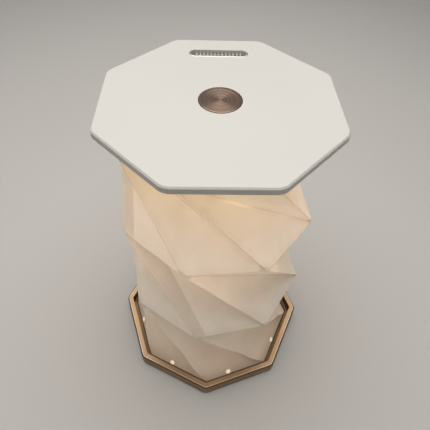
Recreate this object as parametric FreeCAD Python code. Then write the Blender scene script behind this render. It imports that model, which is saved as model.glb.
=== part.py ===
"""Twist-and-fold paper lantern: an octagonal lid over a three-tier folded paper tube on an octagonal base.

Millimetres. Origin at the centre of the underside, +Z up, +Y towards the badge at the lid's back edge.
"""
import math
import os

import FreeCAD
import Part

# ---- driving dimensions ----
FOOT_H = 0.8                        # rubber pads under the base
BASE_H = 10.0                       # bronze base ring
RIM_Z = FOOT_H + BASE_H             # top of the base ring
BASE_APOTHEM = 75.4
BASE_WALL = 4.8
BASE_CORNER = 5.6
BASE_TURN = 18.76                   # direction of the base ring's first side
FLOOR_TOP = 2.4

PAPER_R = 72.0                      # circle through the fold points of every ring
PAPER_WALL = 0.7
RING_Z = [2.4, 81.2, 162.6, 244.6]  # fold rings, bottom to top
RING_TURN = [41.26, 33.86, 26.96, 22.5]
LEAN = 0.606                        # inward lean of the lowest facets, mm per mm of height
COLLAR_R = 70.2                     # the collar's corners, clear of the base ring's wall

LID_APOTHEM = 74.9
LID_CORNER = 9.0
LID_UNDER = 246.7
LID_TOP = 251.4
LID_CHAMFER = 1.0
LID_WALL = 2.4
LID_CEILING = 249.6                 # underside of the lid's top wall
TRAY_T = 1.2

BUTTON_R = 13.3
BEZEL_IN = 13.38
BEZEL_OUT = 13.82
BADGE_L = 41.4
BADGE_W = 9.0
BADGE_Y = 55.6
BADGE_DEPTH = 0.9

PUCK_R = 25.5
PUCK_BOTTOM = 238.9
PUCK_WALL = 1.5
USB_Z = 248.58
RIVET_SIDE = -6.6                   # rivets sit this far from the middle of each side
RIVET_Z = 4.5
SIDES = 8
UP = FreeCAD.Vector(0, 0, 1)


# ---- helpers ----
def polar(radius, degrees, z=0.0):
    a = math.radians(degrees)
    return FreeCAD.Vector(radius * math.cos(a), radius * math.sin(a), z)


def octagon(apothem, turn, z, corner=0.0):
    """Closed octagon whose first side faces `turn` degrees, with rounded corners if asked."""
    reach = apothem / math.cos(math.radians(22.5))
    tips = [polar(reach, turn + 22.5 + 45 * k, z) for k in range(SIDES)]
    if corner == 0:
        return Part.makePolygon(tips + [tips[0]])
    cut = corner * math.tan(math.radians(22.5))
    edges = []
    starts = []
    ends = []
    for k, tip in enumerate(tips):
        back = (tips[k - 1] - tip).normalize() * cut
        ahead = (tips[(k + 1) % SIDES] - tip).normalize() * cut
        middle = polar(reach - corner / math.cos(math.radians(22.5)) + corner, turn + 22.5 + 45 * k, z)
        starts.append(tip + back)
        ends.append(tip + ahead)
        edges.append(Part.Arc(tip + back, middle, tip + ahead).toShape())
    for k in range(SIDES):
        edges.append(Part.makeLine(ends[k], starts[(k + 1) % SIDES]))
    return Part.Wire(Part.__sortEdges__(edges))


def prism(apothem, turn, z0, z1, corner=0.0):
    return Part.Face(octagon(apothem, turn, z0, corner)).extrude(UP * (z1 - z0))


def taper(apothem0, apothem1, turn, z0, z1):
    return Part.makeLoft([octagon(apothem0, turn, z0), octagon(apothem1, turn, z1)], True, True)


def disc(radius, z0, z1, at=None):
    centre = at if at is not None else FreeCAD.Vector(0, 0, 0)
    return Part.makeCylinder(radius, z1 - z0, FreeCAD.Vector(centre.x, centre.y, z0), UP)


def ring(inner, outer, z0, z1):
    return disc(outer, z0, z1).cut(disc(inner, z0 - 1, z1 + 1))


def box(x0, x1, y0, y1, z0, z1):
    return Part.makeBox(x1 - x0, y1 - y0, z1 - z0, FreeCAD.Vector(x0, y0, z0))


def pill(length, width, z0, z1, y):
    """Flat obround lying along X."""
    half = (length - width) / 2
    body = box(-half, half, y - width / 2, y + width / 2, z0, z1)
    for x in (-half, half):
        body = body.fuse(disc(width / 2, z0, z1, FreeCAD.Vector(x, y, 0)))
    return body.removeSplitter()


def slot_along_y(width, height, y0, y1, z):
    """Obround hole running along Y, wide in X."""
    half = (width - height) / 2
    body = box(-half, half, y0, y1, z - height / 2, z + height / 2)
    for x in (-half, half):
        end = Part.makeCylinder(height / 2, y1 - y0, FreeCAD.Vector(x, y0, z), FreeCAD.Vector(0, 1, 0))
        body = body.fuse(end)
    return body.removeSplitter()


def chamfer_at(shape, z, size, keep):
    """Chamfers the edges lying at height z whose middle passes the test."""
    chosen = []
    for edge in shape.Edges:
        bounds = edge.BoundBox
        if abs(bounds.ZMin - z) < 1e-4 and abs(bounds.ZMax - z) < 1e-4:
            middle = edge.valueAt((edge.FirstParameter + edge.LastParameter) / 2)
            if keep(middle):
                chosen.append(edge)
    return shape.makeChamfer(size, chosen)


def countersunk(at, head_z, tip_z, radius=0.85, head=1.9):
    """Screw with a flat head at head_z and its tip at tip_z."""
    sign = 1 if tip_z > head_z else -1
    axis = FreeCAD.Vector(0, 0, sign)
    start = FreeCAD.Vector(at.x, at.y, head_z)
    cone = Part.makeCone(head, radius, 0.9, start, axis)
    shank = Part.makeCylinder(radius, abs(tip_z - head_z), start, axis)
    recess = Part.makeCylinder(0.55, 0.45, start, axis)
    return cone.fuse(shank).cut(recess)


def screw_hole(at, head_z, tip_z, radius=0.9, head=1.96):
    sign = 1 if tip_z > head_z else -1
    axis = FreeCAD.Vector(0, 0, sign)
    start = FreeCAD.Vector(at.x, at.y, head_z)
    mouth = Part.makeCone(head, radius, 0.93, start, axis)
    return mouth.fuse(Part.makeCylinder(radius, abs(tip_z - head_z) + 0.1, start, axis))


def group(shapes):
    return Part.makeCompound(shapes)


def save(name, shape):
    os.makedirs("parts", exist_ok=True)
    shape.exportStep("parts/" + name + ".step")


# ---- folded paper ----
def fold_solid(radius, low_z, high_z, low_turn, high_turn):
    """Solid bounded by one tier's sixteen triangular facets: a mountain and a valley fold per side."""
    low = [polar(radius, low_turn + 45 * k, low_z) for k in range(SIDES)]
    high = [polar(radius, high_turn + 45 * k, high_z) for k in range(SIDES)]
    faces = []
    for k in range(SIDES):
        far = low[(k + 2) % SIDES]
        near = low[(k + 1) % SIDES]
        faces.append(Part.Face(Part.makePolygon([high[k], high[(k + 1) % SIDES], far, high[k]])))
        faces.append(Part.Face(Part.makePolygon([high[k], near, far, high[k]])))
    for tips in (low, high):
        faces.append(Part.Face(Part.makePolygon(tips + [tips[0]])))
    solid = Part.makeSolid(Part.makeShell(faces))
    if solid.Volume < 0:
        solid.reverse()
    return solid


def paper_tier(level):
    gap = 0.05
    low_z = RING_Z[level] + (gap if level else 0)
    high_z = RING_Z[level + 1] - gap
    turns = (RING_TURN[level], RING_TURN[level + 1])
    outer = fold_solid(PAPER_R, low_z, high_z, *turns)
    inner = fold_solid(PAPER_R - PAPER_WALL, low_z, high_z, *turns)
    return outer.cut(inner)


def rivet_axis(k):
    """Middle of rivet k on the lowest facet, and the outward direction across the paper."""
    turn = BASE_TURN + 45 * k
    out = polar(1, turn)
    along = polar(1, turn + 90)
    reach = PAPER_R * math.cos(math.radians(22.5)) - (RIVET_Z - RING_Z[0]) * LEAN
    at = out * reach + along * RIVET_SIDE + UP * RIVET_Z
    normal = (out + UP * LEAN).normalize()
    return at, normal


def rivet(k, grow=0.0):
    at, normal = rivet_axis(k)
    shank = Part.makeCylinder(1.1 + grow, 1.9, at - normal * 1.7, normal)
    if grow:
        return shank
    head = Part.makeCone(2.2, 1.5, 0.8, at + normal * 0.05, normal)
    return shank.fuse(head)


# ---- base ----
def base_ring():
    inside = BASE_APOTHEM - BASE_WALL
    body = prism(BASE_APOTHEM, BASE_TURN, FOOT_H, RIM_Z, BASE_CORNER)
    body = body.cut(prism(inside, BASE_TURN, FLOOR_TOP + 1.4, RIM_Z + 1, BASE_CORNER - BASE_WALL))
    body = body.cut(prism(67.8, BASE_TURN, FOOT_H - 1, RIM_Z))
    body = body.cut(prism(inside, BASE_TURN, FOOT_H - 1, FLOOR_TOP, BASE_CORNER - BASE_WALL))
    body = chamfer_at(body, RIM_Z, 0.6, lambda p: math.hypot(p.x, p.y) > BASE_APOTHEM - 1)
    body = chamfer_at(body, FOOT_H, 0.5, lambda p: math.hypot(p.x, p.y) > BASE_APOTHEM - 1)
    for at in base_screw_places():
        body = body.cut(disc(0.9, FLOOR_TOP - 1, FLOOR_TOP + 1.2, at))
    return body


def base_screw_places():
    return [polar(69.2, BASE_TURN + 45 * k) for k in range(SIDES)]


def magnet_places(turn):
    return [polar(19.2, turn), polar(19.2, turn + 180)]


def base_floor():
    body = prism(BASE_APOTHEM - BASE_WALL - 0.15, BASE_TURN, FOOT_H, FLOOR_TOP, BASE_CORNER - BASE_WALL)
    for at in base_screw_places():
        body = body.cut(screw_hole(at, FOOT_H, FLOOR_TOP))
    for at in magnet_places(-26.24):
        body = body.cut(disc(4.1, 1.3, FLOOR_TOP + 1, at))
    return body


def foot_frame():
    top_z = 6.6
    shrink = (top_z - FLOOR_TOP) * LEAN
    body = taper(65.6, 65.6 - shrink, BASE_TURN, FLOOR_TOP, top_z)
    body = body.cut(prism(61.8, BASE_TURN, FLOOR_TOP - 1, top_z + 1))
    for k in range(SIDES):
        body = body.cut(rivet(k, 0.05))
    return body


def lower_tier():
    body = paper_tier(0)
    for k in range(SIDES):
        body = body.cut(rivet(k, 0.1))
    return body


def rubber_feet():
    return group([disc(5.5, 0, FOOT_H, polar(61, BASE_TURN + 22.5 + 90 * k)) for k in range(4)])


# ---- collar under the lid, glued into the top of the paper ----
def top_collar():
    flat = prism(66.2, 0, 244.7, 246.4)
    skirt = taper(64.5, 65.6, 0, 242.6, 244.7)
    body = flat.fuse(skirt).common(disc(COLLAR_R, 242, 247))
    body = body.cut(prism(62.2, 0, 242, 244.7))
    return body.cut(disc(59.6, 242, 247)).removeSplitter()


# ---- lid ----
def tray_screw_places():
    return [polar(64.5, 22.5 + 45 * k) for k in range(SIDES)]


def puck_screw_places():
    return [polar(28.7, 45 + 90 * k) for k in range(4)]


def lid_plate():
    body = prism(LID_APOTHEM, 0, LID_UNDER, LID_TOP, LID_CORNER)
    body = chamfer_at(body, LID_TOP, LID_CHAMFER, lambda p: True)
    body = body.cut(prism(LID_APOTHEM - LID_WALL, 0, LID_UNDER - 1, LID_CEILING, LID_CORNER - LID_WALL))
    for at in tray_screw_places():
        body = body.fuse(disc(2.6, LID_UNDER + TRAY_T, LID_CEILING, at))
        body = body.cut(disc(0.9, LID_UNDER, LID_CEILING + 0.6, at))
    for at in puck_screw_places():
        body = body.fuse(disc(2.2, LID_UNDER, LID_CEILING, at))
        body = body.cut(disc(0.9, LID_UNDER - 1, LID_CEILING + 0.6, at))
    body = body.cut(disc(BEZEL_OUT + 0.02, LID_UNDER, LID_TOP + 1))
    body = body.cut(pill(BADGE_L, BADGE_W, LID_TOP - BADGE_DEPTH, LID_TOP + 1, BADGE_Y))
    body = body.cut(box(-4.65, 4.65, 66.8, 74.1, LID_UNDER - 1, USB_Z + 1.62))
    return body.cut(slot_along_y(8.5, 2.7, 73, 76, USB_Z))


def badge():
    """Plain metal plate with upright flutes."""
    top = LID_TOP + 0.1
    body = pill(BADGE_L - 0.3, BADGE_W - 0.3, LID_TOP - BADGE_DEPTH, top, BADGE_Y)
    body = chamfer_at(body, top, 0.4, lambda p: True)
    for n in range(11):
        x = (n - 5) * 2.9
        body = body.cut(box(x - 0.5, x + 0.5, BADGE_Y - 2.6, BADGE_Y + 2.6, top - 0.35, top + 1))
    return body


def lid_tray():
    body = prism(LID_APOTHEM - LID_WALL - 0.15, 0, LID_UNDER, LID_UNDER + TRAY_T, LID_CORNER - LID_WALL)
    body = body.cut(disc(55, LID_UNDER - 1, LID_UNDER + TRAY_T + 1))
    for at in tray_screw_places():
        body = body.cut(screw_hole(at, LID_UNDER, LID_UNDER + TRAY_T))
    return body.cut(box(-4.65, 4.65, 66.8, 73, LID_UNDER + 0.25, LID_UNDER + 3))


def collar_keeper():
    """Ring under the tray whose lip carries the collar and whose ledge carries the diffuser."""
    wall = ring(58.3, 59.3, 243.5, LID_UNDER)
    lip = ring(58.3, 61.3, 243.5, 244.4)
    ledge = ring(56, 58.4, 244.7, 245.5)
    return wall.fuse(lip).fuse(ledge).removeSplitter()


def led_board():
    body = ring(31, 54, LID_CEILING - 1.0, LID_CEILING)
    return body.cut(disc(1.2, 247, 251, polar(33.4, 12)))


def leds():
    chips = []
    for n in range(24):
        chip = box(39.9, 43.1, -1.4, 1.4, LID_CEILING - 1.7, LID_CEILING - 1.0)
        chip.rotate(FreeCAD.Vector(0, 0, 0), UP, 15 * n)
        chips.append(chip)
    return group(chips)


def puck():
    """Round cup under the lid for the cell, with a stepped flange."""
    body = disc(PUCK_R, PUCK_BOTTOM, LID_UNDER)
    body = chamfer_at(body, PUCK_BOTTOM, 0.8, lambda p: True)
    flange = disc(32, 244.7, LID_UNDER).fuse(disc(34, 244.7, 245.5))
    body = body.fuse(flange)
    body = body.cut(disc(PUCK_R - PUCK_WALL, PUCK_BOTTOM + PUCK_WALL, LID_UNDER + 1))
    for at in puck_screw_places():
        body = body.cut(screw_hole(at, 244.7, LID_UNDER))
    return body.removeSplitter()


def cell():
    body = box(-18, 18, -14, 14, 240.5, 246.0)
    upright = [e for e in body.Edges if abs(e.BoundBox.ZLength - 5.5) < 0.01]
    return body.makeFillet(1.5, upright)


def control_board():
    body = disc(PUCK_R - 0.2, LID_UNDER, LID_UNDER + 1.0)
    return body.cut(box(-26, 26, 20.5, 26, LID_UNDER - 1, LID_UNDER + 2))


def tact_switch():
    top = LID_UNDER + 2.0
    body = box(-2.25, 2.25, -2.25, 2.25, LID_UNDER + 1.0, top)
    return body.fuse(disc(1.0, top - 0.1, top + 0.1))


def usb_socket():
    shell = slot_along_y(8.94, 3.16, 67.3, 74.0, USB_Z)
    hollow = slot_along_y(8.34, 2.56, 68.1, 75, USB_Z)
    tongue = box(-3.3, 3.3, 68, 73, USB_Z - 0.35, USB_Z + 0.35)
    return shell.cut(hollow).fuse(tongue)


def button_bezel():
    sleeve = ring(BEZEL_IN, BEZEL_OUT, 249.0, LID_TOP - 0.15)
    flange = ring(BEZEL_IN, 17.0, 249.0, LID_CEILING)
    return sleeve.fuse(flange).removeSplitter()


# ---- button ----
def button_cap():
    top = LID_TOP + 0.2
    body = disc(BUTTON_R, 250.4, top)
    body = chamfer_at(body, top, 0.3, lambda p: True)
    for radius in (11.9, 8.6, 5.3):
        body = body.cut(ring(radius, radius + 0.35, top - 0.12, top + 1))
    return body


def button_carrier():
    body = disc(13.1, 248.4, 250.4).fuse(disc(15.2, 248.4, 248.85))
    body = body.cut(disc(11.9, 248, 249.6))
    return body.fuse(disc(2.0, 249.35, 250.0)).removeSplitter()


NODES = {
    "base_ring": base_ring(),
    "base_floor": base_floor(),
    "foot_frame": foot_frame(),
    "rubber_feet": rubber_feet(),
    "base_screws": group([countersunk(at, FOOT_H + 0.03, 3.4) for at in base_screw_places()]),
    "base_magnets": group([disc(4.0, 1.35, FLOOR_TOP - 0.05, at) for at in magnet_places(-26.24)]),
    "paper_tier_lower": lower_tier(),
    "paper_tier_middle": paper_tier(1),
    "paper_tier_upper": paper_tier(2),
    "paper_rivets": group([rivet(k) for k in range(SIDES)]),
    "top_collar": top_collar(),
    "lid_plate": lid_plate(),
    "badge": badge(),
    "lid_tray": lid_tray(),
    "tray_screws": group([countersunk(at, LID_UNDER + 0.03, 250.0) for at in tray_screw_places()]),
    "collar_keeper": collar_keeper(),
    "diffuser": ring(32.3, 58.0, 245.5, LID_UNDER),
    "led_board": led_board(),
    "leds": leds(),
    "puck_housing": puck(),
    "puck_screws": group([countersunk(at, 244.73, 250.0) for at in puck_screw_places()]),
    "cell": cell(),
    "lid_magnets": group([disc(4.0, 240.4, 242.4, at) for at in magnet_places(90)]),
    "control_board": control_board(),
    "tact_switch": tact_switch(),
    "usb_socket": usb_socket(),
    "button_bezel": button_bezel(),
    "button_cap": button_cap(),
    "button_carrier": button_carrier(),
}

for name, shape in NODES.items():
    save(name, shape)
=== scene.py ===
"""Looks for the twist-and-fold paper lantern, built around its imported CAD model."""
import math

import bmesh
import bpy
from mathutils import Matrix, Vector, noise


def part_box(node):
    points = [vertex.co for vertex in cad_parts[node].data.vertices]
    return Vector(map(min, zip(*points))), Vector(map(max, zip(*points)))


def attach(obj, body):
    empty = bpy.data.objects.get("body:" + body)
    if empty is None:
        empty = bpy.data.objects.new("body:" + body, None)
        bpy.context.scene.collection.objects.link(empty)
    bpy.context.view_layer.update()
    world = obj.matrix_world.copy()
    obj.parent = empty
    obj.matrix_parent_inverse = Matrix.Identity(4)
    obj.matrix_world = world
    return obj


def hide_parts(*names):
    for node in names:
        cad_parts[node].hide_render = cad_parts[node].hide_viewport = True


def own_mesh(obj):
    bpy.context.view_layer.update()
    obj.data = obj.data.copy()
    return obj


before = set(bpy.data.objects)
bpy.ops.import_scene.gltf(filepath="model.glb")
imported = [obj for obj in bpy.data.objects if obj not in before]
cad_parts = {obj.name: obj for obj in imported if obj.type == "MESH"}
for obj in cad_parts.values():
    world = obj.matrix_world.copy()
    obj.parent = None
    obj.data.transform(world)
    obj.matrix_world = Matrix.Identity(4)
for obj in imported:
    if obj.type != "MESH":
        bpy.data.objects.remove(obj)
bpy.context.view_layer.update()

bl_info = {
    "name": "Folding paper lantern",
    "version": (1, 0, 0),
    "blender": (4, 5, 0),
    "location": "3D View > Sidebar > Lantern",
    "description": "Models the visible pieces of a folding paper lantern around its CAD parts",
    "category": "Add Mesh",
}

MM = 0.001
SIDES = 8
SIDE_TURN = 45
HALF_SIDE = math.radians(22.5)
BEYOND = 10 * MM  # how far a cutting tool reaches past what it cuts

# the paper: heights and turns of its four rings of fold points, from the base up
FOLD_ROW = [2.4 * MM, 81.2 * MM, 162.6 * MM, 244.6 * MM]
FOLD_TURN = [41.26, 33.86, 26.96, 22.5]
FOLD_RADIUS = 72.0 * MM
FOLD_CUTS = 17  # along each edge of a facet
FOOT_HEIGHT = 28.0 * MM  # of the part that leans out above the base
HELD_END = 12 * MM  # where the sheet's two ends run true
BROAD_WAVE, FINE_WAVE = 38.0, 95.0
# a darker strip on one facet of each tier: the turn of its upper end, and its width in mm at its lower and
# upper ends
DARK_STRIP_TURN = (None, 206.96, 157.5)
DARK_STRIP_WIDTH = ((8.0, 8.0), (7.5, 15.5), (9.5, 9.5))
OFF_STRIP = 9.0  # stands for a place well away from the strip

# the base ring: turn, distance from the axis to its sides, wall, and the opening in its ledge
BASE_TURN = 18.76
BASE_APOTHEM = 75.4 * MM
BASE_WALL = 4.8 * MM
BASE_OPENING = 67.8 * MM

# the light inside: a ring of lamps under the lid, and how bright the paper is far from it and near it
LAMPS = 12
LAMP_RADIUS = 41.5 * MM
LAMP_HEIGHT = 247.8 * MM
LAMP_NEAREST = 12 * MM
LIGHT_FOOT = 60 * MM
LIGHT_RISE = 140 * MM
LIGHT_LOW = 0.14
LIGHT_HIGH = 0.585
PAPER_NODES = ("paper_tier_lower", "paper_tier_middle", "paper_tier_upper")


# ---- sizes and colours that a user may change ----
def length(name, text, value):
    return bpy.props.FloatProperty(
        name=name, description=text, default=value, min=0.0, max=0.5, precision=5,
        subtype="DISTANCE", unit="LENGTH",
    )


def share(name, text, value):
    return bpy.props.FloatProperty(
        name=name, description=text, default=value, min=0.0, max=1.0, subtype="FACTOR"
    )


def colour(name, text, value):
    return bpy.props.FloatVectorProperty(
        name=name, description=text, default=value, size=3, min=0.0, max=1.0, subtype="COLOR"
    )


class LANTERN_PG_sizes(bpy.types.PropertyGroup):
    """Sizes of the edges, corners and paper"""

    lid_corner: length("Lid corner", "Radius of the lid's eight corners", 9.0 * MM)
    lid_bevel: length("Lid bevel", "Width of the bevel round the lid's top edge", 1.0 * MM)
    edge_soft: length("Edge softness", "Rounding of the moulded edges", 0.14 * MM)
    rim_corner: length("Rim corner", "Radius of the base ring's corners", 5.6 * MM)
    rim_bevel: length("Rim bevel", "Width of the shoulder round the base ring", 0.95 * MM)
    paper_sheet: length("Paper thickness", "Thickness of the folded sheet", 0.3 * MM)
    paper_wave: length("Paper wave", "How far the sheet strays from flat facets", 0.9 * MM)
    foot_puff: length("Foot puff", "How far the paper leans out just above the base", 1.3 * MM)
    facet_swell: length("Facet swell", "How far each facet bows outwards", 0.8 * MM)


class LANTERN_PG_finish(bpy.types.PropertyGroup):
    """Colours and glow"""

    lid_white: colour("Lid white", "Moulded lid plastic", (0.640, 0.616, 0.577))
    rim_bronze: colour("Rim bronze", "Anodised bronze of the base ring", (0.395, 0.258, 0.148))
    paper_white: colour("Paper white", "Unlit paper", (0.78, 0.72, 0.63))
    glow_high: colour("Glow by the lid", "Light through the paper near the lamps", (1.0, 0.70, 0.37))
    glow_low: colour("Glow by the base", "Light through the paper far from the lamps", (1.0, 0.715, 0.49))
    button_brown: colour("Button brown", "Spun metal of the push button", (0.265, 0.182, 0.136))
    badge_grey: colour("Badge grey", "Satin metal of the badge", (0.43, 0.40, 0.37))
    glow_strength: bpy.props.FloatProperty(
        name="Glow", description="How strongly the paper shines", default=1.0, min=0.0, max=5.0
    )
    # painted shade along the folds
    crease_dark: share("Crease lines", "How dark the folds are drawn", 0.36)


# ---- modelling helpers ----
def settle(obj):
    """Puts a piece's place into its mesh, so that its object sits at the origin."""
    obj.data.transform(obj.matrix_world)
    obj.matrix_world = Matrix.Identity(4)
    return obj


def begin(name):
    """Ends edit mode, deselects everything and returns the function that names the next piece."""
    if bpy.context.mode != "OBJECT":
        bpy.ops.object.mode_set(mode="OBJECT")
    bpy.ops.object.select_all(action="DESELECT")

    def named():
        obj = bpy.context.active_object
        obj.name = name
        obj.data.name = name
        return settle(obj)

    return named


def only(obj):
    """Selects one object and makes it active."""
    if bpy.context.mode != "OBJECT":
        bpy.ops.object.mode_set(mode="OBJECT")
    bpy.ops.object.select_all(action="DESELECT")
    obj.select_set(True)
    bpy.context.view_layer.objects.active = obj


def edit(obj):
    """Opens edit mode with nothing selected."""
    only(obj)
    bpy.ops.object.mode_set(mode="EDIT")
    bpy.ops.mesh.select_all(action="DESELECT")


def leave():
    bpy.ops.object.mode_set(mode="OBJECT")


def pick(obj, kind, test):
    """Selects the vertices, edges or faces whose middle passes the test, and nothing else."""
    bpy.ops.mesh.select_mode(type=kind)
    bm = bmesh.from_edit_mesh(obj.data)
    for group in (bm.verts, bm.edges, bm.faces):
        for part in group:
            part.select = False
    chosen = {"VERT": bm.verts, "EDGE": bm.edges, "FACE": bm.faces}[kind]
    for part in chosen:
        if test(part):
            part.select_set(True)
    bm.select_flush_mode()
    bmesh.update_edit_mesh(obj.data)


def upright(edge):
    run = edge.verts[1].co - edge.verts[0].co
    return abs(run.z) > 0.9 * run.length


def at_height(z):
    return lambda edge: all(abs(v.co.z - z) < 0.02 * MM for v in edge.verts)


def face_up(z, sign=1):
    return lambda face: face.normal.z * sign > 0.9 and abs(face.calc_center_median().z - z) < 0.05 * MM


def apply_modifier(obj, kind, **settings):
    only(obj)
    modifier = obj.modifiers.new(kind.title(), kind)
    for key, value in settings.items():
        setattr(modifier, key, value)
    bpy.ops.object.modifier_apply(modifier=modifier.name)


def cut(obj, tool):
    """Takes the tool's shape out of the object, and the tool away."""
    apply_modifier(obj, "BOOLEAN", operation="DIFFERENCE", object=tool, solver="EXACT")
    bpy.data.objects.remove(tool)


def soften(obj, width):
    """Rounds every edge sharper than 30 degrees and evens out the shading."""
    apply_modifier(
        obj, "BEVEL", width=width, segments=2, limit_method="ANGLE", angle_limit=math.radians(30),
        harden_normals=False, use_clamp_overlap=True,
    )
    smooth(obj, 35)
    apply_modifier(obj, "WEIGHTED_NORMAL", keep_sharp=True, weight=80)


def smooth(obj, angle):
    only(obj)
    bpy.ops.object.shade_smooth_by_angle(angle=math.radians(angle))


def add_octagon(name, apothem, turn, low, high):
    named = begin(name)
    bpy.ops.mesh.primitive_cylinder_add(
        vertices=SIDES, radius=apothem / math.cos(HALF_SIDE), depth=high - low,
        location=(0, 0, (low + high) / 2), rotation=(0, 0, math.radians(turn) + HALF_SIDE),
    )
    return named()


def add_cylinder(name, radius, low, high, sides, y=0.0):
    named = begin(name)
    bpy.ops.mesh.primitive_cylinder_add(
        vertices=sides, radius=radius, depth=high - low, location=(0, y, (low + high) / 2)
    )
    return named()


def add_pill(name, long, wide, low, high, y, sides=48):
    """Flat obround along X: a cylinder whose two halves are pulled apart."""
    obj = add_cylinder(name, wide / 2, low, high, sides, y)
    for sign in (-1, 1):
        edit(obj)
        pick(obj, "VERT", lambda v: v.co.x * sign > 1e-6)
        bpy.ops.transform.translate(value=(sign * (long - wide) / 2, 0, 0))
        leave()
    return obj


def round_corners(obj, radius, segments):
    edit(obj)
    pick(obj, "EDGE", upright)
    bpy.ops.mesh.bevel(
        offset=radius * math.tan(HALF_SIDE), offset_type="OFFSET", segments=segments, profile=0.5,
        affect="EDGES",
    )
    leave()


def bevel_loop(obj, test, width, segments=1):
    edit(obj)
    pick(obj, "EDGE", test)
    bpy.ops.mesh.bevel(offset=width, offset_type="OFFSET", segments=segments, profile=0.5, affect="EDGES")
    leave()


def push_face(obj, test, rim, rise):
    """Insets the chosen face by rim, then moves the inner face along Z."""
    edit(obj)
    pick(obj, "FACE", test)
    bpy.ops.mesh.inset(thickness=rim, depth=0, use_boundary=True)
    if rise:
        bpy.ops.mesh.extrude_region_move(TRANSFORM_OT_translate={"value": (0, 0, rise)})
    leave()


def octagon_reach(point, turn):
    """How far out a point lies, measured square to the nearest side of an octagon."""
    angle = math.degrees(math.atan2(point.y, point.x)) - turn
    off = math.radians(angle - SIDE_TURN * round(angle / SIDE_TURN))
    return math.hypot(point.x, point.y) * math.cos(off)


def mark_shade(obj, rule):
    """Stores on each face how much painted shade (under 0) or painted highlight (over 0) its metal gets."""
    values = [rule(face) for face in obj.data.polygons]
    obj.data.attributes.new("shade", "FLOAT", "FACE").data.foreach_set("value", values)


def join(target, others):
    only(target)
    for obj in others:
        obj.select_set(True)
    bpy.ops.object.join()
    return target


def repeat(obj, places):
    """Copies a finished shape to each place, every copy with its own mesh, and joins them into one piece."""
    twins = []
    for at in places[1:]:
        twin = obj.copy()
        twin.data = obj.data.copy()
        twin.data.transform(at)
        bpy.context.scene.collection.objects.link(twin)
        twins.append(twin)
    obj.data.transform(places[0])
    return join(obj, twins)


def place(obj, body, material, nodes=()):
    """Finishes a piece: its material, the CAD body it rides on, and the CAD nodes it stands for."""
    obj.data.materials.clear()
    obj.data.materials.append(material)
    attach(obj, body)
    if nodes:
        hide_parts(*nodes)


# ---- material helpers ----
class Board:
    """A node tree with short ways to add and link nodes."""

    def __init__(self, tree):
        self.tree = tree
        self.nodes = tree.nodes
        self.links = tree.links

    def add(self, kind, **settings):
        node = self.nodes.new(kind)
        for key, value in settings.items():
            setattr(node, key, value)
        return node

    def feed(self, value, socket):
        if isinstance(value, bpy.types.NodeSocket):
            self.links.new(value, socket)
        elif value is not None:
            socket.default_value = value

    def maths(self, operation, a, b=None, c=None, clamp=False):
        node = self.add("ShaderNodeMath", operation=operation, use_clamp=clamp)
        for value, socket in zip((a, b, c), node.inputs):
            self.feed(value, socket)
        return node.outputs[0]

    def noise(self, vector, scale, detail=3.0, roughness=0.5, distortion=0.0):
        node = self.add("ShaderNodeTexNoise")
        self.feed(vector, node.inputs["Vector"])
        self.feed(scale, node.inputs["Scale"])
        node.inputs["Detail"].default_value = detail
        node.inputs["Roughness"].default_value = roughness
        node.inputs["Distortion"].default_value = distortion
        return node.outputs["Fac"]

    def stored(self, name):
        """A value that the mesh carries."""
        node = self.add("ShaderNodeAttribute", attribute_type="GEOMETRY", attribute_name=name)
        return node.outputs["Fac"]

    def scaled(self, vector, scale):
        node = self.add("ShaderNodeMapping", vector_type="POINT")
        self.feed(vector, node.inputs["Vector"])
        node.inputs["Scale"].default_value = scale
        return node.outputs["Vector"]

    def ramp(self, value, low, high, out_low=0.0, out_high=1.0, smooth_step=True):
        kind = "SMOOTHSTEP" if smooth_step else "LINEAR"
        node = self.add("ShaderNodeMapRange", interpolation_type=kind, clamp=True)
        for item, socket in zip((value, low, high, out_low, out_high), node.inputs):
            self.feed(item, socket)
        return node.outputs[0]

    def mix(self, share_value, a, b, blend="MIX"):
        node = self.add("ShaderNodeMix", data_type="RGBA", blend_type=blend, clamp_factor=True)
        self.feed(share_value, node.inputs[0])
        self.feed(rgba(a), node.inputs[6])
        self.feed(rgba(b), node.inputs[7])
        return node.outputs[2]

    def group(self, tree, **values):
        node = self.add("ShaderNodeGroup", node_tree=tree)
        for key, value in values.items():
            self.feed(value, node.inputs[key.replace("_", " ").capitalize()])
        return node


def rgba(value):
    """A grey level or a colour as four numbers; a socket stays as it is."""
    if isinstance(value, bpy.types.NodeSocket):
        return value
    if isinstance(value, (int, float)):
        return (value, value, value, 1.0)
    return (value[0], value[1], value[2], 1.0)


def new_group(name, inputs, outputs):
    """Empty shader group. inputs: (name, socket type, default); outputs: (name, socket type)."""
    tree = bpy.data.node_groups.new(name, "ShaderNodeTree")
    for label, kind, value in inputs:
        socket = tree.interface.new_socket(name=label, in_out="INPUT", socket_type=kind)
        if value is not None:
            socket.default_value = value
    for label, kind in outputs:
        tree.interface.new_socket(name=label, in_out="OUTPUT", socket_type=kind)
    board = Board(tree)
    return board, board.add("NodeGroupInput").outputs, board.add("NodeGroupOutput").inputs


GROUPS = {}


def once(name):
    """Builds a shared shader group the first time that it is asked for."""
    if name not in GROUPS:
        GROUPS[name] = {
            "moulded grain": moulded_grain,
            "metal brushing": metal_brushing,
            "paper fibre": paper_fibre,
            "dust and rub": dust_and_rub,
        }[name](name)
    return GROUPS[name]


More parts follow.
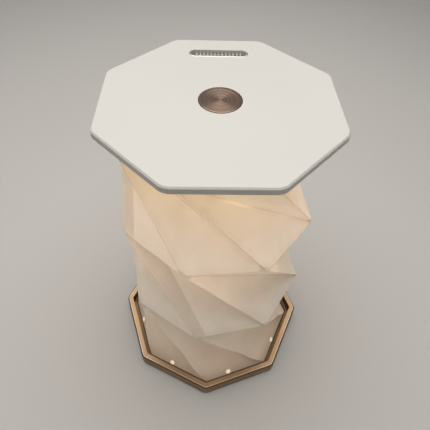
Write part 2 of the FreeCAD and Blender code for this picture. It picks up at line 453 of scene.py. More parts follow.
def moulded_grain(name):
    """Fine spark-eroded texture of moulded plastic: a height and a slight unevenness of gloss."""
    board, given, out = new_group(
        name,
        [
            ("Vector", "NodeSocketVector", None), ("Grain", "NodeSocketFloat", 2600.0),
            ("Gloss", "NodeSocketFloat", 0.5), ("Spread", "NodeSocketFloat", 0.12),
        ],
        [("Height", "NodeSocketFloat"), ("Roughness", "NodeSocketFloat")],
    )
    fine = board.noise(given["Vector"], given["Grain"], 2.0, 0.6)
    broad = board.noise(given["Vector"], 24.0, 3.0, 0.55)
    board.feed(fine, out["Height"])
    swing = board.maths("MULTIPLY", board.maths("SUBTRACT", broad, 0.5), given["Spread"])
    board.feed(board.maths("ADD", given["Gloss"], swing, clamp=True), out["Roughness"])
    return board.tree


def metal_brushing(name):
    """Rings turned round the Z axis through a centre: the marks of a spun or turned metal face."""
    board, given, out = new_group(
        name,
        [
            ("Vector", "NodeSocketVector", None), ("Rings", "NodeSocketFloat", 9000.0),
            ("Gloss", "NodeSocketFloat", 0.3),
        ],
        [("Height", "NodeSocketFloat"), ("Roughness", "NodeSocketFloat"), ("Tone", "NodeSocketFloat")],
    )
    apart = board.add("ShaderNodeSeparateXYZ")
    board.feed(given["Vector"], apart.inputs[0])
    across = board.maths("POWER", apart.outputs[0], 2.0)
    along = board.maths("POWER", apart.outputs[1], 2.0)
    radius = board.maths("SQRT", board.maths("ADD", across, along))
    # noise read along the radius, and hardly at all round the axis, so that each mark closes on itself
    line = board.add("ShaderNodeCombineXYZ")
    board.feed(board.maths("MULTIPLY", radius, given["Rings"]), line.inputs[0])
    for axis in (0, 1):
        heading = board.maths("DIVIDE", apart.outputs[axis], board.maths("MAXIMUM", radius, 0.0001))
        board.feed(board.maths("MULTIPLY", heading, 0.08), line.inputs[axis + 1])
    marks = board.noise(line.outputs[0], 1.0, 4.0, 0.62)
    board.feed(marks, out["Height"])
    board.feed(marks, out["Tone"])
    uneven = board.maths("MULTIPLY", board.maths("SUBTRACT", marks, 0.5), 0.25)
    board.feed(board.maths("ADD", given["Gloss"], uneven, clamp=True), out["Roughness"])
    return board.tree


def paper_fibre(name):
    """Cloudy felt of spun fibres: broad clouds, short crossed hairs and a surface height."""
    board, given, out = new_group(
        name,
        [
            ("Vector", "NodeSocketVector", None), ("Cloud size", "NodeSocketFloat", 70.0),
            ("Hairs", "NodeSocketFloat", 0.5),
        ],
        [("Cloud", "NodeSocketFloat"), ("Hair", "NodeSocketFloat"), ("Height", "NodeSocketFloat")],
    )
    cloud = board.noise(given["Vector"], given["Cloud size"], 5.0, 0.58, 0.3)
    hairs = []
    for stretch in ((240, 1500, 2100), (1700, 300, 900), (1200, 1900, 260)):
        hairs.append(board.noise(board.scaled(given["Vector"], stretch), 1.0, 2.0, 0.5, 0.9))
    crossed = board.maths("MAXIMUM", board.maths("MAXIMUM", hairs[0], hairs[1]), hairs[2])
    hair = board.ramp(crossed, 0.55, 0.8)
    hair = board.maths("MULTIPLY", hair, given["Hairs"])
    board.feed(cloud, out["Cloud"])
    board.feed(hair, out["Hair"])
    board.feed(board.maths("ADD", board.maths("MULTIPLY", cloud, 0.6), hair), out["Height"])
    return board.tree


def dust_and_rub(name):
    """Thin dust that settles on faces looking up, and a rub that lightens edges."""
    board, given, out = new_group(
        name,
        [
            ("Vector", "NodeSocketVector", None), ("Dust", "NodeSocketFloat", 0.2),
            ("Rub", "NodeSocketFloat", 0.3),
        ],
        [("Dust mask", "NodeSocketFloat"), ("Rub mask", "NodeSocketFloat")],
    )
    shape = board.add("ShaderNodeNewGeometry")
    apart = board.add("ShaderNodeSeparateXYZ")
    board.feed(shape.outputs["Normal"], apart.inputs[0])
    up = board.ramp(apart.outputs[2], 0.4, 1.0)
    specks = board.ramp(board.noise(given["Vector"], 420.0, 4.0, 0.7), 0.5, 0.75)
    board.feed(board.maths("MULTIPLY", board.maths("MULTIPLY", up, specks), given["Dust"]), out["Dust mask"])
    ridge = board.ramp(shape.outputs["Pointiness"], 0.52, 0.62)
    patchy = board.ramp(board.noise(given["Vector"], 160.0, 4.0, 0.6), 0.35, 0.65)
    board.feed(board.maths("MULTIPLY", board.maths("MULTIPLY", ridge, patchy), given["Rub"]), out["Rub mask"])
    return board.tree


MATERIALS = {}


def new_material(name):
    """Empty material with one shader, and the point on the object that its textures are read at."""
    material = bpy.data.materials.new(name)
    material.use_nodes = True
    board = Board(material.node_tree)
    board.nodes.clear()
    shader = board.add("ShaderNodeBsdfPrincipled")
    output = board.add("ShaderNodeOutputMaterial")
    board.links.new(shader.outputs[0], output.inputs[0])
    where = board.add("ShaderNodeTexCoord").outputs["Object"]
    MATERIALS[name] = material
    return material, board, shader, where


def bump(board, shader, height, strength, distance):
    """Turns a height into the shader's normal."""
    node = board.add("ShaderNodeBump")
    node.inputs["Strength"].default_value = strength
    node.inputs["Distance"].default_value = distance
    board.feed(height, node.inputs["Height"])
    board.feed(node.outputs[0], shader.inputs["Normal"])


def moulded_plastic(name, base, gloss=0.45, grain=2600.0, relief=0.12, dust=0.12, rub=0.1):
    """Moulded plastic with fine grain, uneven gloss, a little dust and rubbed edges."""
    material, board, shader, where = new_material(name)
    grained = board.group(once("moulded grain"), vector=where, grain=grain, gloss=gloss, spread=0.12)
    worn = board.group(once("dust and rub"), vector=where, dust=dust, rub=rub)
    tone = board.ramp(board.noise(where, 9.0, 3.0, 0.5), 0.3, 0.7, 0.965, 1.0)
    body = board.mix(1.0, base, tone, "MULTIPLY")
    lighter = [min(1.0, c * 1.25 + 0.03) for c in base]
    body = board.mix(worn.outputs["Rub mask"], body, lighter)
    body = board.mix(worn.outputs["Dust mask"], body, (0.62, 0.60, 0.56))
    board.feed(body, shader.inputs["Base Color"])
    board.feed(grained.outputs["Roughness"], shader.inputs["Roughness"])
    bump(board, shader, grained.outputs["Height"], relief, 0.00004)
    shader.inputs["IOR"].default_value = 1.49
    return material


def shaded(board, body, dark, bright):
    """Paints shade or a highlight into a metal's colour, darker or brighter by what its faces carry."""
    shade = board.stored("shade")
    darker = board.mix(board.maths("MULTIPLY", shade, -1.0, clamp=True), body, dark)
    return board.mix(board.maths("MULTIPLY", shade, 1.0, clamp=True), darker, bright)


def worked_metal(
    name, base, gloss=0.3, rings=9000.0, relief=0.15, tone_swing=0.25, anisotropy=0.0, dust=0.1, rub=0.35,
    metallic=1.0,
):
    """Metal with turned marks, a patchy tone, bright rubbed edges, and the painted shade and painted
    highlights that its faces carry.
    """
    material, board, shader, where = new_material(name)
    brushed = board.group(once("metal brushing"), vector=where, rings=rings, gloss=gloss)
    worn = board.group(once("dust and rub"), vector=where, dust=dust, rub=rub)
    tone = board.ramp(brushed.outputs["Tone"], 0.3, 0.7, 1.0 - tone_swing, 1.0 + tone_swing, False)
    body = board.mix(1.0, base, tone, "MULTIPLY")
    body = board.mix(worn.outputs["Rub mask"], body, [min(1.0, c * 1.5 + 0.08) for c in base])
    body = board.mix(worn.outputs["Dust mask"], body, (0.45, 0.42, 0.38))
    # painted shade and painted highlight: the colours that the faces' shade values mix in
    board.feed(shaded(board, body, (0.05, 0.045, 0.04), (0.9, 0.88, 0.85)), shader.inputs["Base Color"])
    board.feed(brushed.outputs["Roughness"], shader.inputs["Roughness"])
    shader.inputs["Metallic"].default_value = metallic
    if anisotropy:
        shader.inputs["Anisotropic"].default_value = anisotropy
        shader.inputs["Anisotropic Rotation"].default_value = 0.25
        tangent = board.add("ShaderNodeTangent", direction_type="RADIAL", axis="Z")
        board.feed(tangent.outputs[0], shader.inputs["Tangent"])
    bump(board, shader, brushed.outputs["Height"], relief, 0.00003)
    return material


def rim_metal(base):
    """Anodised bronze: fine bead-blasted grain, soft tone clouds, rubbed edges, and the painted shade and
    painted highlights that its faces carry.
    """
    material, board, shader, where = new_material("anodised_bronze")
    grained = board.group(once("moulded grain"), vector=where, grain=3800.0, gloss=0.36, spread=0.1)
    worn = board.group(once("dust and rub"), vector=where, dust=0.1, rub=0.6)
    cloud = board.ramp(board.noise(where, 30.0, 4.0, 0.6), 0.3, 0.7, 0.9, 1.06, False)
    body = board.mix(1.0, base, cloud, "MULTIPLY")
    body = board.mix(worn.outputs["Rub mask"], body, [min(1.0, c * 1.3 + 0.1) for c in base])
    body = board.mix(worn.outputs["Dust mask"], body, (0.5, 0.45, 0.4))
    # painted shade and painted highlight: the colours that the faces' shade values mix in
    board.feed(shaded(board, body, (0.085, 0.038, 0.012), (0.86, 0.72, 0.56)), shader.inputs["Base Color"])
    board.feed(grained.outputs["Roughness"], shader.inputs["Roughness"])
    shader.inputs["Metallic"].default_value = 0.8
    bump(board, shader, grained.outputs["Height"], 0.15, 0.00004)
    return material


def lit_paper(finish):
    """Fibre paper lit from inside. The glow follows the light on each facet, and is less at the folds."""
    material, board, shader, where = new_material("lit_paper")
    fibre = board.group(once("paper fibre"), vector=where, cloud_size=46.0, hairs=0.5)
    glow = board.stored("glow")
    fold = board.stored("fold_mm")
    apart = board.add("ShaderNodeSeparateXYZ")
    board.feed(where, apart.inputs[0])
    height = apart.outputs[2]

    # folds: a painted dark line with a painted soft shade beside it
    ragged = board.maths("MULTIPLY", board.maths("SUBTRACT", board.noise(where, 300.0, 3.0, 0.6), 0.5), 0.5)
    near = board.maths("ADD", fold, ragged)
    line = board.ramp(near, 0.15, 0.75, finish.crease_dark, 0.0)
    shade = board.ramp(near, 0.0, 6.0, finish.crease_dark * 0.3, 0.0)
    # the paper beside a fold catches a little more light
    ridge = board.maths("MULTIPLY", board.ramp(near, 0.5, 1.1), board.ramp(near, 1.1, 2.4, 0.1, 0.0))
    # a darker strip along one edge of one facet in each of the two upper tiers, where the glow is less
    dark_strip = board.stored("dark_strip")
    strip_dark = board.ramp(dark_strip, 0.95, 1.05, 0.29, 0.0)
    dark = board.maths("MAXIMUM", board.maths("MAXIMUM", line, shade), strip_dark)

    clouds = board.ramp(fibre.outputs["Cloud"], 0.25, 0.75, 0.85, 1.1, False)
    hairs = board.maths("SUBTRACT", 1.0, board.maths("MULTIPLY", fibre.outputs["Hair"], 0.16))
    texture = board.maths("MULTIPLY", board.maths("ADD", clouds, ridge), hairs)

    # painted light: the paper's emission stands in for the lamps' light coming through it
    tint = board.mix(board.ramp(height, 0.175, 0.245), finish.glow_low, finish.glow_high)
    level = board.maths("MULTIPLY", glow, texture)
    level = board.maths("MULTIPLY", level, board.maths("SUBTRACT", 1.0, dark))
    shine = board.mix(1.0, tint, level, "MULTIPLY")
    board.feed(shine, shader.inputs["Emission Color"])
    shader.inputs["Emission Strength"].default_value = finish.glow_strength

    # painted shade and painted warm reflection of the bronze ring: the paper's colour is browner and darker
    # towards the base
    foot = board.ramp(height, 0.0, 0.055, 0.8, 0.0)
    skin = board.mix(foot, finish.paper_white, (0.66, 0.50, 0.37))
    # painted shade in the colour along the folds; the darker strip is darker in colour too
    skin = board.mix(board.maths("MULTIPLY", dark, 0.75), skin, (0.42, 0.29, 0.2))
    tone = board.maths("MULTIPLY", board.ramp(fibre.outputs["Cloud"], 0.3, 0.7, 0.95, 1.02, False), hairs)
    board.feed(board.mix(1.0, skin, tone, "MULTIPLY"), shader.inputs["Base Color"])
    board.feed(board.ramp(fibre.outputs["Height"], 0.2, 0.9, 0.72, 0.9, False), shader.inputs["Roughness"])
    shader.inputs["Sheen Weight"].default_value = 0.1
    shader.inputs["Specular IOR Level"].default_value = 0.25
    bump(board, shader, fibre.outputs["Height"], 0.35, 0.00012)
    return material


def shining(name, base, shine, strength):
    """A small part that light comes through, uneven from middle to edge."""
    material, board, shader, where = new_material(name)
    grained = board.group(once("moulded grain"), vector=where, grain=1500.0, gloss=0.4, spread=0.2)
    cloud = board.ramp(board.noise(where, 260.0, 3.0, 0.5), 0.3, 0.7, 0.85, 1.05, False)
    board.feed(board.mix(1.0, base, cloud, "MULTIPLY"), shader.inputs["Base Color"])
    board.feed(board.mix(1.0, shine, cloud, "MULTIPLY"), shader.inputs["Emission Color"])
    shader.inputs["Emission Strength"].default_value = strength
    board.feed(grained.outputs["Roughness"], shader.inputs["Roughness"])
    bump(board, shader, grained.outputs["Height"], 0.1, 0.00003)
    return material


# ---- folded paper ----
def lamp_light(point, inward):
    """Light from the ring of lamps under the lid that falls on the inside of the paper at a point."""
    total = 0.0
    for k in range(LAMPS):
        angle = 2 * math.pi * k / LAMPS
        lamp = Vector((LAMP_RADIUS * math.cos(angle), LAMP_RADIUS * math.sin(angle), LAMP_HEIGHT))
        way = lamp - point
        far = max(way.length, LAMP_NEAREST)
        way.normalize()
        total += max(0.0, inward.dot(way)) * max(0.0, way.z) / (far * far)
    return total / LAMPS


def fold_paper():
    """A ring of eight edges, extruded and turned tier by tier, then folded along its long diagonals."""
    named = begin("paper_tube")
    bpy.ops.mesh.primitive_circle_add(
        vertices=SIDES, radius=FOLD_RADIUS, fill_type="NOTHING", location=(0, 0, FOLD_ROW[3]),
        rotation=(0, 0, math.radians(FOLD_TURN[3])),
    )
    tube = named()
    edit(tube)
    bpy.ops.mesh.select_all(action="SELECT")
    for row in (2, 1, 0):
        twist = math.radians(FOLD_TURN[row] + SIDE_TURN - FOLD_TURN[row + 1])
        drop = FOLD_ROW[row] - FOLD_ROW[row + 1]
        bpy.ops.mesh.extrude_edges_move(TRANSFORM_OT_translate={"value": (0, 0, drop)})
        bpy.ops.transform.rotate(value=-twist, orient_axis="Z", center_override=(0, 0, FOLD_ROW[row]))
    bpy.ops.mesh.select_all(action="SELECT")
    bpy.ops.mesh.quads_convert_to_tris(quad_method="LONGEST_DIAGONAL")
    bpy.ops.mesh.normals_make_consistent(inside=False)
    leave()
    return tube


def remember_facets(tube):
    """Numbers the facets, so that each small face still knows the fold lines of its own facet."""
    facets = [[tube.data.vertices[i].co.copy() for i in p.vertices] for p in tube.data.polygons]
    mark = tube.data.attributes.new("facet", "INT", "FACE")
    mark.data.foreach_set("value", list(range(len(facets))))
    return facets


def line_distance(point, start, end):
    """How far a point lies from the line through two others."""
    along = (end - start).normalized()
    away = point - start
    return (away - along * away.dot(along)).length


def fold_distance(point, corners):
    """Distance from the nearest of a facet's three edges."""
    return min(line_distance(point, corners[i], corners[(i + 1) % 3]) for i in range(3))


def dark_strip_place(point, corners):
    """Under 1 inside the darker strip, on the facets that carry it, and large on the rest."""
    top = max(corners, key=lambda c: c.z)
    low = [c for c in corners if c.z < top.z - 10 * MM]
    turn = math.degrees(math.atan2(top.y, top.x)) % 360
    row = min(range(3), key=lambda r: abs(FOLD_ROW[r + 1] - top.z))
    if len(low) != 2 or DARK_STRIP_TURN[row] is None or abs(turn - DARK_STRIP_TURN[row]) > 3:
        return OFF_STRIP
    end = min(low, key=lambda c: (c - top).length)
    rise = (point.z - end.z) / (top.z - end.z)
    narrow, wide = DARK_STRIP_WIDTH[row]
    return line_distance(point, top, end) / MM / (narrow + (wide - narrow) * rise)


def relax_paper(tube, facets, sizes):
    """Lets the sheet bow between its folds and stray a little along them. Returns the facets' normals."""
    mesh = tube.data
    facet_of = [0] * len(mesh.polygons)
    mesh.attributes["facet"].data.foreach_get("value", facet_of)
    middle = [sum(f, Vector()) / 3 for f in facets]
    normals = [(f[1] - f[0]).cross(f[2] - f[0]).normalized() for f in facets]
    reach = [fold_distance(middle[i], facets[i]) for i in range(len(facets))]
    owners = {}
    for p in mesh.polygons:
        for v in p.vertices:
            owners.setdefault(v, set()).add(facet_of[p.index])
    for v in mesh.vertices:
        mine = owners[v.index]
        co = v.co.copy()
        # the sheet is held at its two ends
        free = max(0.0, min(1.0, min(FOLD_ROW[3] - co.z, co.z - FOLD_ROW[0]) / HELD_END))
        wave = noise.noise(co * BROAD_WAVE + Vector((3.1, 0.4, 7.7))) * sizes.paper_wave
        wave += noise.noise(co * FINE_WAVE + Vector((9.0, 2.0, 1.0))) * sizes.paper_wave * 0.35
        out = Vector((co.x, co.y, 0)).normalized()
        low = min(1.0, (co.z - FOLD_ROW[0]) / FOOT_HEIGHT)
        puff = sizes.foot_puff * math.sin(math.pi * max(0.0, low))
        if len(mine) == 1:
            f = next(iter(mine))
            swell = min(1.0, fold_distance(co, facets[f]) / reach[f])
            swell = swell * (2 - swell) * sizes.facet_swell * (0.6 + 0.8 * noise.noise(middle[f] * 60.0))
            v.co = co + normals[f] * (swell + wave) * free + out * puff
        else:
            v.co = co + out * (wave * 0.6 * free + puff)
    return normals


def shade_paper(tube, facets, normals):
    """Stores, at every corner of every face, the light on the paper's inside and the distance from a fold."""
    mesh = tube.data
    facet_of = [0] * len(mesh.polygons)
    mesh.attributes["facet"].data.foreach_get("value", facet_of)
    rows = {name: [0.0] * len(mesh.loops) for name in ("glow", "fold_mm", "dark_strip")}
    seen = {}
    for p in mesh.polygons:
        f = facet_of[p.index]
        for corner in p.loop_indices:
            v = mesh.loops[corner].vertex_index
            if (v, f) not in seen:
                co = mesh.vertices[v].co
                wall = Vector((-co.x, -co.y, 0)).normalized()
                facing = lamp_light(co, -normals[f]) / max(1e-6, lamp_light(co, wall))
                rise = min(1.0, max(0.0, (co.z - LIGHT_FOOT) / LIGHT_RISE))
                light = LIGHT_LOW + (LIGHT_HIGH - LIGHT_LOW) * rise * rise * (3 - 2 * rise)
                light *= 0.7 + 0.3 * min(1.8, facing)
                seen[v, f] = (light, fold_distance(co, facets[f]) / MM, dark_strip_place(co, facets[f]))
            for values, value in zip(rows.values(), seen[v, f]):
                values[corner] = value
    mesh.attributes.remove(mesh.attributes["facet"])
    for name, values in rows.items():
        mesh.attributes.new(name, "FLOAT", "CORNER").data.foreach_set("value", values)


class LANTERN_OT_paper(bpy.types.Operator):
    """Fold the paper tube"""

    bl_idname = "lantern.paper"
    bl_label = "Folded paper"

    def execute(self, context):
        sizes, finish = context.scene.lantern_sizes, context.scene.lantern_finish
        tube = fold_paper()
        facets = remember_facets(tube)
        edit(tube)
        bpy.ops.mesh.select_all(action="SELECT")
        bpy.ops.mesh.subdivide(number_cuts=FOLD_CUTS, quadcorner="INNERVERT")
        leave()
        normals = relax_paper(tube, facets, sizes)
        shade_paper(tube, facets, normals)
        apply_modifier(tube, "SOLIDIFY", thickness=sizes.paper_sheet, offset=-1.0, use_even_offset=False)
        smooth(tube, 14)
        place(tube, "base", lit_paper(finish), PAPER_NODES)
        # folded flat, the stack stays under the collar and its keeper
        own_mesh(tube)
        return {"FINISHED"}


# ---- lid ----
class LANTERN_OT_lid(bpy.types.Operator):
    """Mould the lid with its button hole, badge recess and charging inlet"""

    bl_idname = "lantern.lid"
    bl_label = "Lid"

    def execute(self, context):
        sizes, finish = context.scene.lantern_sizes, context.scene.lantern_finish
        low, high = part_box("lid_plate")
        lid = add_octagon("lid_cover", high.x, 0, low.z, high.z)
        round_corners(lid, sizes.lid_corner, 10)
        bevel_loop(lid, at_height(high.z), sizes.lid_bevel)
        wall, hollow = 2.4 * MM, 2.9 * MM
        push_face(lid, face_up(low.z, -1), wall, hollow)

        button_gap = 0.54 * MM
        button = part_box("button_cap")[1]
        cut(lid, add_cylinder("hole", button.x + button_gap, low.z - BEYOND, high.z + BEYOND, 128))

        badge_gap = 0.3 * MM
        badge_low, badge_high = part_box("badge")
        long = badge_high.x - badge_low.x + badge_gap
        wide = badge_high.y - badge_low.y + badge_gap
        middle = (badge_high.y + badge_low.y) / 2
        cut(lid, add_pill("recess", long, wide, badge_low.z, high.z + BEYOND, middle))

        mouth_long, mouth_tall, mouth_deep, mouth_in = 8.5 * MM, 2.7 * MM, 2 * MM, 0.4 * MM
        socket_low, socket_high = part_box("usb_socket")
        mouth = add_pill("mouth", mouth_long, mouth_tall, -mouth_deep, mouth_deep, 0, 32)
        mouth.data.transform(
            Matrix.Translation((0, high.y - mouth_in, (socket_low.z + socket_high.z) / 2))
            @ Matrix.Rotation(math.pi / 2, 4, "X")
        )
        cut(lid, mouth)

        soften(lid, sizes.edge_soft)
        white = moulded_plastic(
            "lid_plastic", tuple(finish.lid_white), gloss=0.42, relief=0.1, dust=0.1, rub=0.0
        )
        place(lid, "lid", white, ["lid_plate"])
        return {"FINISHED"}


class LANTERN_OT_badge(bpy.types.Operator):
    """Press the plain fluted badge"""

    bl_idname = "lantern.badge"
    bl_label = "Badge"

    def execute(self, context):
        finish = context.scene.lantern_finish
        low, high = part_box("badge")
        middle = (low.y + high.y) / 2
        slope, sunk = 0.2 * MM, 0.42 * MM
        badge = add_pill("badge_plate", high.x - low.x, high.y - low.y, low.z, high.z - slope, middle, 64)
        edit(badge)
        pick(badge, "FACE", face_up(high.z - slope))
        for step, rise in ((0.6 * MM, slope), (0.3 * MM, 0.0), (0.15 * MM, -sunk)):
            bpy.ops.mesh.inset(thickness=step, depth=rise)
        leave()

        flutes, pitch = 13, 2.55 * MM
        crest = high.z - 0.06 * MM
        flute = add_pill("flute", 5.0 * MM, 1.3 * MM, high.z - sunk - 0.05 * MM, crest, 0, 16)
        bevel_loop(flute, at_height(crest), 0.2 * MM, 2)
        across = Matrix.Rotation(math.pi / 2, 4, "Z")
        places = [Matrix.Translation(((n - flutes // 2) * pitch, middle, 0)) @ across for n in range(flutes)]
        join(badge, [repeat(flute, places)])
        smooth(badge, 40)

        # painted shade on the sunk floor between the flutes, a painted highlight on the faces that slope or
        # stand up, and the flat tops a little lighter
        def badge_shade(face):
            if face.center.z < high.z - 0.3 * MM:
                return -0.42
            return 0.45 if face.normal.z < 0.98 else 0.15

        mark_shade(badge, badge_shade)
        metal = worked_metal(
            "badge_metal", tuple(finish.badge_grey), gloss=0.46, rings=5200.0, relief=0.2, rub=0.0
        )
        place(badge, "lid", metal, ["badge"])
        return {"FINISHED"}


class LANTERN_OT_button(bpy.types.Operator):
    """Turn the push button with its concentric rings"""

    bl_idname = "lantern.button"
    bl_label = "Push button"

    def execute(self, context):
        finish = context.scene.lantern_finish
        low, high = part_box("button_cap")
        cap = add_cylinder("button_face", high.x, low.z, high.z, 128)
        bevel_loop(cap, at_height(high.z), 0.3 * MM, 3)
        # shallow turned rings: how far in each one starts, and how far it goes down or up, in mm
        edit(cap)
        pick(cap, "FACE", lambda face: face.normal.z > 0.9 and len(face.verts) > 64)
        for step, rise in ((1.2, -0.12), (0.35, 0.1), (2.6, -0.1), (0.3, 0.1), (3.0, -0.08), (0.3, 0.06)):
            bpy.ops.mesh.inset(thickness=step * MM, depth=0)
            bpy.ops.mesh.inset(thickness=0.1 * MM, depth=rise * MM)
        leave()
        smooth(cap, 30)
        brown = worked_metal(
            "spun_copper", tuple(finish.button_brown), gloss=0.31, rings=1700.0, relief=0.25,
            tone_swing=0.45, anisotropy=0.8, dust=0.0, rub=0.3, metallic=0.7,
        )
        place(cap, "button", brown, ["button_cap"])
        return {"FINISHED"}


# ---- base ----
class LANTERN_OT_base(bpy.types.Operator):
    """Machine the bronze base ring"""

    bl_idname = "lantern.base"
    bl_label = "Base ring"

    def execute(self, context):
        sizes, finish = context.scene.lantern_sizes, context.scene.lantern_finish
        low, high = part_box("base_ring")
        floor_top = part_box("base_floor")[1].z
        ledge = floor_top + 1.4 * MM
        foot_bevel = 0.5 * MM
        rim = add_octagon("base_rim", BASE_APOTHEM, BASE_TURN, low.z, high.z)
        round_corners(rim, sizes.rim_corner, 8)
        bevel_loop(rim, at_height(high.z), sizes.rim_bevel)
        bevel_loop(rim, at_height(low.z), foot_bevel)
        # a bead runs just inside the shoulder, and the flat band starts a little lower; the bead gets a
        # painted highlight
        bead, step = 0.6 * MM, 0.12 * MM
        edit(rim)
        pick(rim, "FACE", face_up(high.z))
        bpy.ops.mesh.inset(thickness=bead, depth=0)
        bpy.ops.mesh.inset(thickness=step, depth=-step)
        bpy.ops.mesh.inset(thickness=BASE_WALL - sizes.rim_bevel - bead - step, depth=0)
        bpy.ops.mesh.extrude_region_move(TRANSFORM_OT_translate={"value": (0, 0, ledge + step - high.z)})
        leave()
        push_face(rim, face_up(low.z, -1), BASE_WALL - foot_bevel, floor_top - low.z)
        cut(rim, add_octagon("opening", BASE_OPENING, BASE_TURN, low.z - BEYOND, high.z))
        soften(rim, sizes.edge_soft / 2)
        shoulder = BASE_APOTHEM - sizes.rim_bevel

        def rim_shade(face):
            """Painted shadow on the inner wall and ledge of the gap, painted shade on the shoulder and the
            outer wall, a painted highlight on the bead, and nothing on the flat band.
            """
            reach = octagon_reach(face.center, BASE_TURN)
            if reach < BASE_APOTHEM - BASE_WALL + 0.1 * MM and face.center.z < high.z - 0.2 * MM:
                return -0.78
            if reach > shoulder and face.normal.z > 0.3:
                return -0.7
            if reach > BASE_APOTHEM - 0.3 * MM:
                return -0.3
            return 0.55 if reach > shoulder - bead - 0.05 * MM and face.normal.z > 0.9 else 0.0

        mark_shade(rim, rim_shade)
        place(rim, "base", rim_metal(tuple(finish.rim_bronze)), ["base_ring"])
        return {"FINISHED"}


class LANTERN_OT_rivets(bpy.types.Operator):
    """Set the eight push rivets round the foot of the paper"""

    bl_idname = "lantern.rivets"
    bl_label = "Push rivets"

    def execute(self, context):
        radius, tail, head = 2.2 * MM, 1.6 * MM, 0.8 * MM
        rivet = add_cylinder("rivet_heads", radius, -tail, head, 24)
        push_face(rivet, face_up(-tail, -1), radius / 2, 0)
        bevel_loop(rivet, at_height(head), 0.7 * MM, 4)
        smooth(rivet, 40)
        # each stands square to the paper, which leans in by this much for each step up
        lean, height, aside = 0.606, 4.5 * MM, 6.6 * MM
        reach = FOLD_RADIUS * math.cos(HALF_SIDE) - (height - FOLD_ROW[0]) * lean
        places = []
        for k in range(SIDES):
            turn = math.radians(BASE_TURN + SIDE_TURN * k)
            out = Vector((math.cos(turn), math.sin(turn), 0))
            along = Vector((-math.sin(turn), math.cos(turn), 0))
            at = out * reach - along * aside + Vector((0, 0, height))
            facing = (out + Vector((0, 0, lean))).to_track_quat("Z", "Y").to_matrix().to_4x4()
            places.append(Matrix.Translation(at) @ facing)
        heads = repeat(rivet, places)
        # painted light: the rivet heads glow, standing in for the lamps' light coming through them
        bright = shining("rivet_plastic", (0.88, 0.81, 0.70), shine=(1.0, 0.84, 0.62), strength=0.6)
        place(heads, "base", bright, ["paper_rivets"])
        return {"FINISHED"}


class LANTERN_OT_inner_parts(bpy.types.Operator):
    """Give the CAD parts under the lid and in the base their finishes"""

    bl_idname = "lantern.inner_parts"
    bl_label = "Inner parts"

    def execute(self, context):
        white = MATERIALS["lid_plastic"]
        dark = moulded_plastic(
            "dark_plastic", (0.035, 0.032, 0.03), gloss=0.6, grain=1800.0, relief=0.3, dust=0.2
        )
        bezel = moulded_plastic("bezel_plastic", (0.03, 0.022, 0.018), gloss=0.4, relief=0.1, dust=0.0)
        frame_plastic = moulded_plastic("frame_plastic", (0.60, 0.57, 0.52), gloss=0.5)
        rubber = moulded_plastic(
            "foot_rubber", (0.02, 0.02, 0.02), gloss=0.8, grain=1200.0, relief=0.5, dust=0.5
        )
        board = moulded_plastic("circuit_board", (0.75, 0.76, 0.74), gloss=0.3, grain=900.0, relief=0.2)
        foil = worked_metal("cell_foil", (0.55, 0.56, 0.58), gloss=0.35, rings=2200.0, relief=0.4)
        steel = worked_metal("plated_steel", (0.55, 0.55, 0.56), gloss=0.28, rings=9000.0)
        glowing = shining("frosted_cover", (0.88, 0.85, 0.78), shine=(1.0, 0.80, 0.5), strength=2.2)
        lamps = shining("lamp_phosphor", (0.95, 0.75, 0.3), shine=(1.0, 0.78, 0.42), strength=6.0)
        finishes = {
            "lid_tray": white, "collar_keeper": white, "puck_housing": white, "base_floor": dark,
            "button_bezel": bezel, "button_carrier": bezel, "foot_frame": frame_plastic,
            "top_collar": frame_plastic, "rubber_feet": rubber, "led_board": board, "control_board": board,
            "cell": foil, "base_screws": steel, "tray_screws": steel, "puck_screws": steel,
            "base_magnets": steel, "lid_magnets": steel, "tact_switch": steel, "usb_socket": steel,
            "diffuser": glowing, "leds": lamps,
        }
        for node, material in finishes.items():
            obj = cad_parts[node]
            obj.data.materials.clear()
            obj.data.materials.append(material)
        return {"FINISHED"}


# ---- stage ----
def pale_floor():
    """Matt pale floor with faint clouds. Far from the object it fades into the backdrop, to the eye only."""
    material, board, shader, where = new_material("pale_floor")
    cloud = board.ramp(board.noise(where, 1.2, 3.0, 0.5), 0.3, 0.7, 0.98, 1.02, False)
    board.feed(board.mix(1.0, (0.575, 0.549, 0.525), cloud, "MULTIPLY"), shader.inputs["Base Color"])
    away = board.add("ShaderNodeVectorMath", operation="LENGTH")
    board.feed(where, away.inputs[0])
    fade = board.ramp(away.outputs["Value"], 0.8, 2.2, 0.0, 0.44)
    seen = board.add("ShaderNodeLightPath").outputs["Is Camera Ray"]
    shader.inputs["Emission Color"].default_value = (0.97, 0.97, 0.96, 1.0)
    board.feed(board.maths("MULTIPLY", fade, seen), shader.inputs["Emission Strength"])
    shader.inputs["Roughness"].default_value = 0.75
    shader.inputs["Specular IOR Level"].default_value = 0.2
    return material


def studio_world():
    """Weak even light, seen by the eye as a paler backdrop."""
    world = bpy.data.worlds.new("studio")
    world.use_nodes = True
    sky = Board(world.node_tree)
    seen = sky.add("ShaderNodeLightPath").outputs["Is Camera Ray"]
    sky.nodes["Background"].inputs[0].default_value = (0.97, 0.97, 0.96, 1.0)
    sky.feed(sky.maths("MULTIPLY_ADD", seen, 0.36, 0.2), sky.nodes["Background"].inputs[1])
    return world


def soft_light(name, size, power, at, aim, tint, spread):
    """A round area light at one place, aimed at another."""
    light = bpy.data.lights.new(name, "AREA")
    light.shape = "DISK"
    light.size = size
    light.energy = power
    light.color = tint
    light.spread = math.radians(spread)
    obj = bpy.data.objects.new(name, light)
    obj.location = at
    obj.rotation_mode = "QUATERNION"
    obj.rotation_quaternion = (Vector(aim) - Vector(at)).to_track_quat("-Z", "Y")
    bpy.context.scene.collection.objects.link(obj)


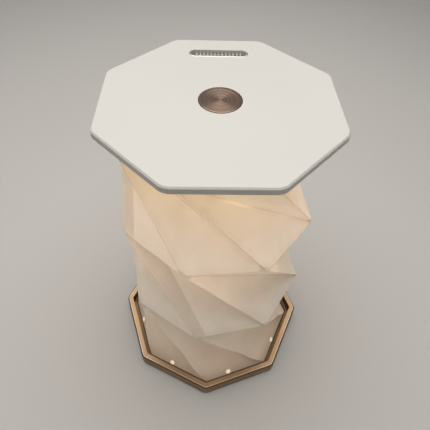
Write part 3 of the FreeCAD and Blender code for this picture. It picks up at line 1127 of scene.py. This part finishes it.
class LANTERN_OT_stage(bpy.types.Operator):
    """Lay the pale floor and set the studio light and the camera"""

    bl_idname = "lantern.stage"
    bl_label = "Stage"

    def execute(self, context):
        named = begin("stage_floor")
        bpy.ops.mesh.primitive_plane_add(size=8.0, location=(0, 0, 0))
        floor = named()
        floor.data.materials.append(pale_floor())
        context.scene.world = studio_world()
        soft_light(
            "overhead", size=1.15, power=6.35, at=(-0.035, 0.125, 1.05), aim=(-0.035, 0.09, 0.0),
            tint=(1.0, 0.985, 0.955), spread=136,
        )

        camera_at = (-0.01178, -0.23115, 0.41649)
        pitch, yaw, roll = 0.7613, -0.0437, 0.0415
        lens = bpy.data.cameras.new("camera")
        lens.sensor_width = 36.0
        lens.lens = 38.32
        lens.shift_y = -0.1163
        camera = bpy.data.objects.new("camera", lens)
        turn = Matrix.Rotation(yaw, 4, "Z") @ Matrix.Rotation(math.pi / 2 - pitch, 4, "X")
        turn = turn @ Matrix.Rotation(roll, 4, "Z")
        camera.matrix_world = Matrix.Translation(camera_at) @ turn
        context.scene.collection.objects.link(camera)
        context.scene.camera = camera
        context.scene.view_settings.view_transform = "Standard"
        return {"FINISHED"}


class LANTERN_PT_panel(bpy.types.Panel):
    """Sizes, finishes and pieces of the lantern"""

    bl_label = "Folding paper lantern"
    bl_idname = "LANTERN_PT_panel"
    bl_space_type = "VIEW_3D"
    bl_region_type = "UI"
    bl_category = "Lantern"

    def draw(self, context):
        for group in (context.scene.lantern_sizes, context.scene.lantern_finish):
            column = self.layout.column(align=True)
            for name in group.__annotations__:
                column.prop(group, name)
        column = self.layout.column(align=True)
        for operator in PIECES:
            column.operator(operator.bl_idname)


PIECES = (
    LANTERN_OT_stage, LANTERN_OT_lid, LANTERN_OT_badge, LANTERN_OT_button, LANTERN_OT_base, LANTERN_OT_paper,
    LANTERN_OT_rivets, LANTERN_OT_inner_parts,
)
CLASSES = (LANTERN_PG_sizes, LANTERN_PG_finish, *PIECES, LANTERN_PT_panel)


def register():
    for cls in CLASSES:
        bpy.utils.register_class(cls)
    bpy.types.Scene.lantern_sizes = bpy.props.PointerProperty(type=LANTERN_PG_sizes)
    bpy.types.Scene.lantern_finish = bpy.props.PointerProperty(type=LANTERN_PG_finish)


def unregister():
    del bpy.types.Scene.lantern_finish
    del bpy.types.Scene.lantern_sizes
    for cls in reversed(CLASSES):
        bpy.utils.unregister_class(cls)


def main():
    register()
    for operator in PIECES:
        group, name = operator.bl_idname.split(".")
        getattr(getattr(bpy.ops, group), name)()


if __name__ == "__main__":
    main()
